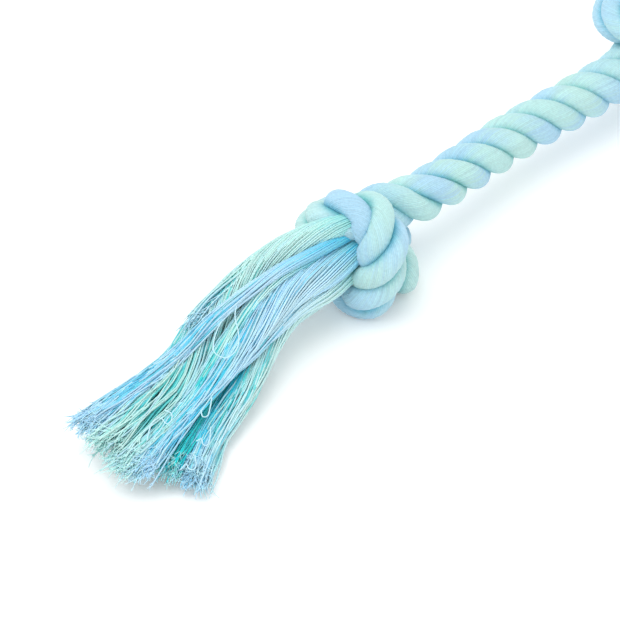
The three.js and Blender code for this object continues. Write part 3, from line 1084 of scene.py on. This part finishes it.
@dataclass
class Tassel:
    """The loose yarns of the three strand ends beyond a knot.

    Attributes:
        end: Which end of the rope.
        knot_x: Knot's middle along X.
        root_y: Tail's offset across X where it leaves the knot.
        root_z: Tail's height there.
        seed: Start of its random draws.
        yarn_radius: A yarn's radius.
        yarn_sides: Corners of its section.
        neck_start: Reach at which the yarns start, inside the knot.
        neck_end: Reach at which the neck's pieces end and the tassel's start.
        neck_steps: Mesh rows of a yarn in the neck.
        tassel_steps: Mesh rows of a yarn beyond it.
        swing_blend: Reaches, in millimetres, between which the neck goes over from knot to tail. Not used.
        lift_blend: Reaches between which the yarns go over from the tail to the tassel. Not used.
        droop: Reaches between which the tail comes down to the floor.
        floor_gap: Gap that it keeps there, in millimetres.
        wander: How the yarns leave their lock's course.
        shade: How much painted shade the yarns have, and their tone.
        core_fill: How much thicker they are inside a lock.
        fray: How their tips open.
        thread: The loose threads.
    """

    end: End
    knot_x: float
    root_y: float
    root_z: float
    seed: int
    yarn_radius: float = 0.33 * MM
    yarn_sides: int = 3
    neck_start: float = 8.0 * MM
    neck_end: float = 35.0 * MM
    neck_steps: int = 5
    tassel_steps: int = 15
    swing_blend: tuple[float, float] = (13.0, 33.0)
    lift_blend: tuple[float, float] = (36.0, 60.0)
    droop: tuple[float, float] = (23.0, 96.7)
    floor_gap: float = 0.3
    wander: Wander = Wander()
    shade: BundleShade = BundleShade()
    core_fill: CoreFill = CoreFill()
    fray: Fray = Fray()
    thread: Thread = Thread()

    # Reaches in millimetres at which the locks are placed
    STATIONS = np.array([10.0, 28.0, 46.0, 66.0, 90.0, 120.0])
    # Half sections in millimetres, and how far the tail's middle lies aside, by reach
    SECTION_REACH = np.array([8., 12., 16., 20., 26., 40., 52., 61., 71., 78., 86., 98., 114., 124.])
    HALF_WIDTH = np.array([7., 8.5, 10., 11., 12.5, 13., 14.5, 16.5, 17.5, 17.5, 18.5, 22., 28., 30.])
    HALF_HEIGHT = np.array([7., 8.5, 10., 11., 11.5, 11., 11., 10.5, 9.5, 9., 8.5, 8., 7., 6.5])
    VEER_REACH = np.array([0., 13., 26., 41., 52., 61., 78., 98., 124.])
    VEER = np.array([-.5, .4, 2., 3.4, 1.8, -.6, -5.4, -10.5, -15.5])
    # Aside and upward parts of the section's two directions, as the camera sees them
    ACROSS = np.array([-0.79, -0.61])
    TOWARDS = np.array([-0.61, 0.79])
    # A lock's ninth tuple, where it has one, is painted shade where other locks keep the light off it
    LOCKS = (
        Lock(0, 190, 116, 4.4, (-.70, -.64, -.66, -.55, -.42, -.32), (1.3, .5, .32, .2, .28, .3),
             (.36, .36, .36, .40, .45, .46), (1, 1, 1, .9, .95, 1)),
        Lock(0, 84, 114, 3., (-.95, -.86, -.86, -.86, -.86, -.84), (.7, .1, 0, 0, 0, 0),
             (.17, .17, .17, .17, .17, .17), (1, 1, 1, .95, .3, .2)),
        Lock(0, 64, 115, 2.4, (-.30, -.22, -.38, -.69, -.95, -.92), (.9, .85, .88, .82, .45, .3),
             (.15, .15, .14, .13, .12, .12), (0, .1, .2, .15, .1, .1), (1, .5, 0, 0, 0, 0)),
        Lock(0, 18, 69, 1., (-.72, -.78, -.84, -.97, -1.05, -1.05), (.3, .4, .45, .4, .3, .3),
             (.14, .14, .14, .14, .14, .14), (1, 1, .9, .4, .2, .2)),
        Lock(0, 60, 113, 3., (-.4, -.45, -.45, -.45, -.45, -.45), (-.4, -.45, -.45, -.45, -.4, -.3),
             (.45, .45, .45, .42, .42, .4), (.8, .9, .9, .8, .7, .8), (1, .4, .3, .3, .4, .4)),
        Lock(1, 180, 114, 3.6, (.25, .30, .28, .14, .02, .06), (.6, .5, .55, .55, .5, .45),
             (.42, .42, .40, .30, .15, .14), (.4, .2, .2, .25, .2, .25), (.8, .1, 0, 0, 0, 0)),
        Lock(1, 50, 119, 2.4, (-.02, -.06, -.17, -.18, -.12, -.12), (.5, .65, .72, .62, .5, .5),
             (.13, .13, .14, .13, .13, .14), (.5, .7, .8, .9, .9, 1), (1, .5, 0, 0, 0, 0)),
        Lock(1, 84, 111, 3., (.70, .76, .66, .36, .10, .14), (.1, .2, .4, .5, .5, .45),
             (.28, .26, .22, .14, .08, .07), (1, .9, .4, .1, .05, .1)),
        Lock(1, 60, 108, 3., (.1, .1, .1, .05, 0, 0), (-.4, -.45, -.45, -.4, -.3, -.3),
             (.42, .42, .40, .34, .24, .18), (.4, .4, .4, .4, .4, .5), (1, .6, .6, .8, .9, .9)),
        Lock(2, 130, 101, 3.2, (.30, .55, .76, .82, .80, 1.0), (-.35, -.25, 0, .1, .15, .15),
             (.34, .34, .28, .24, .20, .16), (.8, .9, 1, .95, .5, .15)),
        Lock(2, 70, 100, 3., (.50, .80, .92, .96, .97, 1.1), (-.3, -.2, -.12, -.05, 0, 0),
             (.20, .20, .18, .16, .14, .12), (1, 1, 1, 1, .6, .15)),
        Lock(2, 70, 103, 2.6, (.2, .35, .50, .60, .66, .90), (-.4, -.3, -.1, .05, .1, .12),
             (.30, .30, .26, .18, .14, .10), (.5, .6, .7, .4, .1, .05), (1, .4, .5, .7, .4, .1)),
        Lock(2, 100, 106, 3., (.1, .2, .35, .42, .38, .46), (-.6, -.6, -.5, -.3, 0, .1),
             (.40, .40, .36, .26, .18, .22), (.4, .4, .6, .8, .9, .9), (1, .8, .8, .9, 1, 1)),
    )
    # Loose threads on the tassel's face, through points of reach, across and towards
    THREADS = (
        ((58, -.52, .95), (62, -.36, 1.0), (64, -.14, 1.03), (66.5, .03, 1.03), (70, .05, 1.03),
         (73, -.08, 1.04), (74, -.28, 1.03), (71, -.46, 1.0), (66, -.54, .97)),
        ((98, -.32, .9), (97, -.2, .93), (99, -.1, .95), (101, -.14, .95), (100.5, -.24, .93),
         (103, -.3, .92), (106, -.24, .9), (109, -.14, .86)),
        ((89, .58, .6), (92, .68, .62), (94.5, .71, .62), (95.5, .63, .62), (94, .56, .6), (96, .5, .56)),
        ((100, .62, .58), (102, .72, .6), (104, .73, .6), (105, .65, .6), (104, .58, .58), (107, .56, .5)),
        ((56, -.8, .5), (62, -.95, .5), (66, -1.05, .45), (68, -1.13, .4)),
        ((62, -.85, .5), (68, -1.02, .45), (72, -1.1, .35), (75, -1.15, .25)),
        ((83, .24, .8), (86, .34, .8), (88.5, .38, .78), (89.5, .3, .78), (88.5, .22, .8)),
    )

    def placed(self, reach: np.ndarray, section: np.ndarray) -> np.ndarray:
        """Put places in the tail's section into the frame.

        The tail leaves the knot level, droops to the floor, swells as it opens, and veers to one side. A
        place lies half_width * across * ACROSS[0] + half_height * towards * TOWARDS[0] aside of its middle,
        and half_height * (across * ACROSS[1] + towards * TOWARDS[1]) above it.

        Args:
            reach: Way from the knot's middle, in millimetres.
            section: Places across and towards the camera, in half sections, on the last axis.

        Returns:
            Places in metres.
        """
        half_width = smooth_line(self.SECTION_REACH, self.HALF_WIDTH, reach)
        half_height = smooth_line(self.SECTION_REACH, self.HALF_HEIGHT, reach)
        droop = 1.0 - smoothstep(reach, *self.droop)
        floor_height = np.minimum(half_height + self.floor_gap, self.root_z / MM)
        middle_z = floor_height + (self.root_z / MM - floor_height) * droop
        across, towards = section[..., 0], section[..., 1]
        aside = half_width * across * self.ACROSS[0] + half_height * towards * self.TOWARDS[0]
        aside = aside + smooth_line(self.VEER_REACH, self.VEER, reach)
        height = middle_z + half_height * (across * self.ACROSS[1] + towards * self.TOWARDS[1])
        x = self.knot_x / MM + self.end.way * reach
        y = self.root_y / MM - self.end.way * aside
        return np.stack([x, y, height], axis=-1) * MM

    def lock_yarns(self, lock: Lock, chance: np.random.Generator) -> tuple[np.ndarray, ...]:
        """Run the yarns of one lock from the knot to their tips.

        The yarns fill a disc by the golden angle, with more of them near its rim. The disc turns with the
        lock's twist, and the yarns wave and stray more and more towards their tips.

        Args:
            lock: The lock.
            chance: Random draws.

        Returns:
            Places, radius, mint share and painted shade by yarn and row, and tone by yarn.
        """
        wander, shade, fill = self.wander, self.shade, self.core_fill
        count = lock.yarns
        number = np.arange(count)
        ragged = np.sin(number * wander.ragged_turn + chance.uniform(0, TURN))
        tip = lock.tip + chance.normal(0.0, wander.tip_spread, count) + wander.ragged * ragged
        neck_end = self.neck_end / MM
        neck = np.linspace(self.neck_start / MM, neck_end, self.neck_steps + 1)[:-1]
        rest = neck_end + (tip[:, None] - neck_end) * np.linspace(0, 1, self.tassel_steps + 1)
        reach = np.concatenate([np.broadcast_to(neck, (count, self.neck_steps)), rest], axis=1)
        from_tip = tip[:, None] - reach
        ring = (((number + 0.5) / count) ** wander.fill)[:, None]
        turn = (number * GOLDEN_ANGLE + chance.uniform(0, TURN))[:, None]
        turn = turn + lock.twist * smoothstep(reach, *wander.twist_reach)
        stray = smoothstep(reach, *wander.stray_reach) * chance.normal(0.0, wander.stray, (2, count, 1))
        phase = chance.uniform(0, TURN, (4, count, 1))
        wave = np.sin(reach / np.array(wander.waves)[:, None, None] + phase)
        sway = smoothstep(reach, *wander.sway_reach)
        across, towards, width, mint, own_painted_shade = (
            smooth_line(self.STATIONS, np.array(values, dtype=float), reach)
            for values in (lock.across, lock.towards, lock.width, lock.mint, lock.deep))
        across = across + ring * width * np.sin(turn) + stray[0]
        across = across + wander.sway[0] * sway * (wave[0] + wave[1])
        towards = towards + ring * width * np.cos(turn) + stray[1]
        towards = towards + wander.sway[1] * sway * (wave[2] + wave[3])
        path = settled(self.placed(reach, np.stack([across, towards], axis=-1)), wander.settle)
        mint = mint + chance.normal(0.0, shade.mint_spread, (count, 1))
        # Painted shade inside each lock and mid-tail, fading at the tips, and where other locks cover it
        core = shade.core * (1.0 - smoothstep(ring, *shade.core_ring))
        inside = 1.0 - np.minimum(np.hypot(across, towards), 1.0)
        clear = 1.0 - shade.tip_clear * smoothstep(from_tip, shade.tip_reach, 0.0)
        deep = (core + shade.middle * inside) * clear + own_painted_shade * smoothstep(towards, *shade.covered)
        gain = np.clip((1.0 - ring) * width * fill.section - fill.cover, 0.0, fill.most)
        radius = self.yarn_radius + gain * (1.0 - smoothstep(from_tip, *fill.taper))
        tone = chance.normal(*shade.tone, count)
        return path, radius, np.clip(mint, 0.0, 1.0), np.clip(deep, 0.0, 1.0), tone

    def bundle(self, strand: int) -> tuple[np.ndarray, ...]:
        """Gather the yarns of all the locks of one strand, as lock_yarns gives them."""
        chance = np.random.default_rng(self.seed + strand)
        parts = [self.lock_yarns(lock, chance) for lock in self.LOCKS if lock.strand == strand]
        return tuple(np.concatenate(values) for values in zip(*parts))

    def strand_pieces(self, strand: int) -> list[bpy.types.Object]:
        """Make the neck, the tassel and the frayed tips of one strand.

        Args:
            strand: Strand's number from 0.

        Returns:
            The three pieces.
        """
        label = self.end.label
        path, radius, mint, deep, tone = self.bundle(strand)
        tubes = yarn_tubes(path, radius, mint, deep, tone, self.yarn_sides)
        tail = tubes.rows(slice(0, self.neck_steps + 1)).build(f"{label}_tail_yarns_{strand + 1}")
        tassel = tubes.rows(slice(self.neck_steps, None)).build(f"{label}_tassel_yarns_{strand + 1}")
        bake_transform(tail)
        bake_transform(tassel)
        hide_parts(f"{label}_tail_strand_{strand + 1}")
        first = strand * LOCKS_PER_STRAND + 1
        numbers = range(first, first + LOCKS_PER_STRAND)
        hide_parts(*(f"{label}_tassel_lock_{number}" for number in numbers))
        return [tail, tassel, self.frayed_tips(path, mint, deep, tone, strand)]

    def frayed_tips(self, path: np.ndarray, mint: np.ndarray, deep: np.ndarray, tone: np.ndarray,
                    strand: int) -> bpy.types.Object:
        """Open every yarn's tip into fine plies, along tip + length * (spread * t + curl * t^2).

        Args:
            path: Places by yarn and row.
            mint: Share of mint by yarn and row.
            deep: Painted shade by yarn and row.
            tone: Tone by yarn.
            strand: Strand's number from 0.

        Returns:
            The piece of the strand's plies.
        """
        fray = self.fray
        chance = np.random.default_rng(self.seed + fray.seed + strand)
        tip = np.repeat(path[:, -1], fray.plies, axis=0)
        ahead = np.repeat(unit(path[:, -1] - path[:, -3]), fray.plies, axis=0)
        spread = unit(ahead + chance.normal(0.0, fray.spread, ahead.shape))
        curl = chance.normal(0.0, fray.spread, ahead.shape)
        length = chance.uniform(*fray.length, len(tip))[:, None, None]
        t = np.linspace(0.0, 1.0, fray.steps + 1)[None, :, None]
        line = (tip - ahead * fray.root)[:, None] + length * (spread[:, None] * t + curl[:, None] * t * t)
        line = settled(line, fray.settle)
        radius = np.broadcast_to(fray.radius * (1.0 - fray.taper * t[..., 0]), line.shape[:2])
        share = np.broadcast_to(np.repeat(mint[:, -1:], fray.plies, axis=0), line.shape[:2])
        # The plies keep part of the yarn's painted shade
        depth = np.broadcast_to(np.repeat(deep[:, -1:], fray.plies, axis=0) * fray.deep, line.shape[:2])
        lighter = np.repeat(tone, fray.plies) + fray.tone
        tubes = yarn_tubes(line, radius, share, depth, lighter, self.yarn_sides)
        piece = tubes.build(f"{self.end.label}_tassel_fray_{strand + 1}")
        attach(piece, f"{self.end.label}_tassel")
        return piece

    def loose_threads(self) -> bpy.types.Object:
        """Lay the single threads that have come loose on the tassel's face."""
        thread = self.thread
        routes = (np.array(points, dtype=float) for points in self.THREADS)
        curves = (curve_through(route, thread.curve_steps) for route in routes)
        spaced = [evenly(self.placed(curve[:, 0], curve[:, 1:]), thread.pitch) for curve in curves]
        share = np.linspace(0.0, 1.0, thread.rows)
        path = np.stack([
            np.stack([np.interp(share, np.linspace(0.0, 1.0, len(line)), axis) for axis in line.T], axis=-1)
            for line in spaced])
        flat = np.ones(path.shape[:2])
        tubes = yarn_tubes(settled(path, thread.settle), thread.radius * flat, thread.mint * flat,
                           np.zeros_like(flat), np.full(len(path), thread.tone), thread.sides)
        piece = tubes.build(f"{self.end.label}_tassel_threads")
        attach(piece, f"{self.end.label}_tassel")
        return piece

    def pieces(self, cotton: Cotton) -> list[bpy.types.Object]:
        """Make and dress the whole tassel.

        Args:
            cotton: The finishes.

        Returns:
            The pieces, strand by strand, and then the loose threads.
        """
        made = []
        for strand in range(STRANDS):
            made += cotton.dress(self.strand_pieces(strand), strand)
        return made + cotton.dress([self.loose_threads()], self.thread.strand)


@dataclass
class Studio:
    """A pale floor, soft light from all round and a long lens at the photograph's angle.

    Attributes:
        azimuth: Camera's way round the toy, in degrees.
        elevation: Its height over the floor, in degrees.
        distance: From the camera to the point in the middle of the picture.
        aim: That point.
        view_width: Width that the picture shows there.
        sensor: Width of the camera's sensor, in millimetres.
        sight: How far the camera sees.
        floor_size: Side of the floor.
        floor_tone: Its grey, as a linear value.
        floor_roughness: Its roughness.
        floor_glow: Light that it adds where the camera sees it, so that it stays pale.
        ambient: Strength of the light from all round.
        key_power: Lamp's power in watts.
        key_size: Lamp's diameter.
        key_place: Lamp's place.
    """

    azimuth: float = -44.0
    elevation: float = 43.0
    distance: float = 2.0
    aim: tuple[float, float, float] = (-89.66 * MM, 1.29 * MM, 2.18 * MM)
    view_width: float = 190.8 * MM
    sensor: float = 36.0
    sight: float = 20.0
    floor_size: float = 6.0
    floor_tone: float = 0.97
    floor_roughness: float = 0.9
    floor_glow: float = 0.12
    ambient: float = 0.95
    key_power: float = 14.0
    key_size: float = 1.6
    key_place: tuple[float, float, float] = (-0.75, 0.1, 1.9)

    WHITE = (1.0, 1.0, 1.0, 1.0)

    def camera(self) -> bpy.types.Object:
        """Set up the camera, and make it the scene's."""
        turn, tilt = np.radians(self.azimuth), np.radians(self.elevation)
        back = Vector((np.sin(turn) * np.cos(tilt), -np.cos(turn) * np.cos(tilt), np.sin(tilt)))
        right = Vector((np.cos(turn), np.sin(turn), 0.0))
        lens = bpy.data.cameras.new("photo_camera")
        lens.sensor_width = self.sensor
        lens.lens = self.sensor * self.distance / self.view_width
        lens.clip_end = self.sight
        holder = linked("photo_camera", lens)
        rotation = Matrix((right, back.cross(right), back)).transposed()
        place = Vector(self.aim) + back * self.distance
        holder.matrix_world = Matrix.Translation(place) @ rotation.to_4x4()
        bpy.context.scene.camera = holder
        return holder

    def floor(self) -> bpy.types.Object:
        """Lay the pale floor, which takes the toy's shadow."""
        half = self.floor_size / 2
        mesh = bpy.data.meshes.new("studio_floor")
        corners = [(-half, -half, 0), (half, -half, 0), (half, half, 0), (-half, half, 0)]
        mesh.from_pydata(corners, [], [(0, 1, 2, 3)])
        paper = bpy.data.materials.new("floor_paper")
        paper.use_nodes = True
        shader = paper.node_tree.nodes["Principled BSDF"]
        shader.inputs["Base Color"].default_value = (*[self.floor_tone] * 3, 1.0)
        shader.inputs["Roughness"].default_value = self.floor_roughness
        shader.inputs["Specular IOR Level"].default_value = 0.0
        shader.inputs["Emission Color"].default_value = self.WHITE
        rays = paper.node_tree.nodes.new("ShaderNodeLightPath")
        glow = paper.node_tree.nodes.new("ShaderNodeMath")
        glow.operation = "MULTIPLY"
        glow.inputs[1].default_value = self.floor_glow
        paper.node_tree.links.new(rays.outputs["Is Camera Ray"], glow.inputs[0])
        paper.node_tree.links.new(glow.outputs[0], shader.inputs["Emission Strength"])
        mesh.materials.append(paper)
        plane = linked("studio_floor", mesh)
        return plane

    def world(self) -> None:
        """Surround the toy with even light, and with plain white where the camera sees it."""
        world = bpy.data.worlds.new("studio_world")
        world.use_nodes = True
        bpy.context.scene.world = world
        nodes, links = world.node_tree.nodes, world.node_tree.links
        light = nodes["Background"]
        light.inputs["Color"].default_value = self.WHITE
        light.inputs["Strength"].default_value = self.ambient
        white = nodes.new("ShaderNodeBackground")
        white.inputs["Color"].default_value = self.WHITE
        rays = nodes.new("ShaderNodeLightPath")
        seen = rays.outputs["Is Camera Ray"]
        for title in ("Is Glossy Ray", "Is Transmission Ray"):
            most = nodes.new("ShaderNodeMath")
            most.operation = "MAXIMUM"
            links.new(seen, most.inputs[0])
            links.new(rays.outputs[title], most.inputs[1])
            seen = most.outputs[0]
        mix = nodes.new("ShaderNodeMixShader")
        links.new(seen, mix.inputs[0])
        links.new(light.outputs[0], mix.inputs[1])
        links.new(white.outputs[0], mix.inputs[2])
        links.new(mix.outputs[0], nodes["World Output"].inputs["Surface"])

    def key(self) -> bpy.types.Object:
        """Hang a large soft lamp above, a little to the left of the camera's line."""
        lamp = bpy.data.lights.new("soft_key", "AREA")
        lamp.shape = "DISK"
        lamp.size = self.key_size
        lamp.energy = self.key_power
        holder = linked("soft_key", lamp)
        place = Vector(self.key_place)
        holder.location = place
        holder.rotation_euler = (place - Vector(self.aim)).to_track_quat("Z", "Y").to_euler()
        return holder

    def build(self) -> None:
        """Set up the whole studio."""
        bpy.context.scene.view_settings.view_transform = "Standard"
        self.camera()
        self.floor()
        self.world()
        self.key()


def main() -> None:
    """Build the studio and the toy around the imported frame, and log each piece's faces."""
    logging.basicConfig(level=logging.INFO, format="%(name)s: %(message)s")
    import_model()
    Studio().build()
    cotton = Cotton()
    rope = LaidRope()
    made = rope.pieces(cotton)
    half = rope.knot_spacing / 2
    near = Tassel(End.NEAR, -half + rope.shift[0], rope.line[0, 1], rope.line[0, 2], seed=7)
    far = Tassel(End.FAR, half + rope.shift[0], rope.line[-1, 1], rope.line[-1, 2], seed=107)
    made += near.pieces(cotton) + far.pieces(cotton)
    for piece in made:
        LOG.info("%s: %d faces", piece.name, len(piece.data.polygons))


if __name__ == "__main__":
    main()
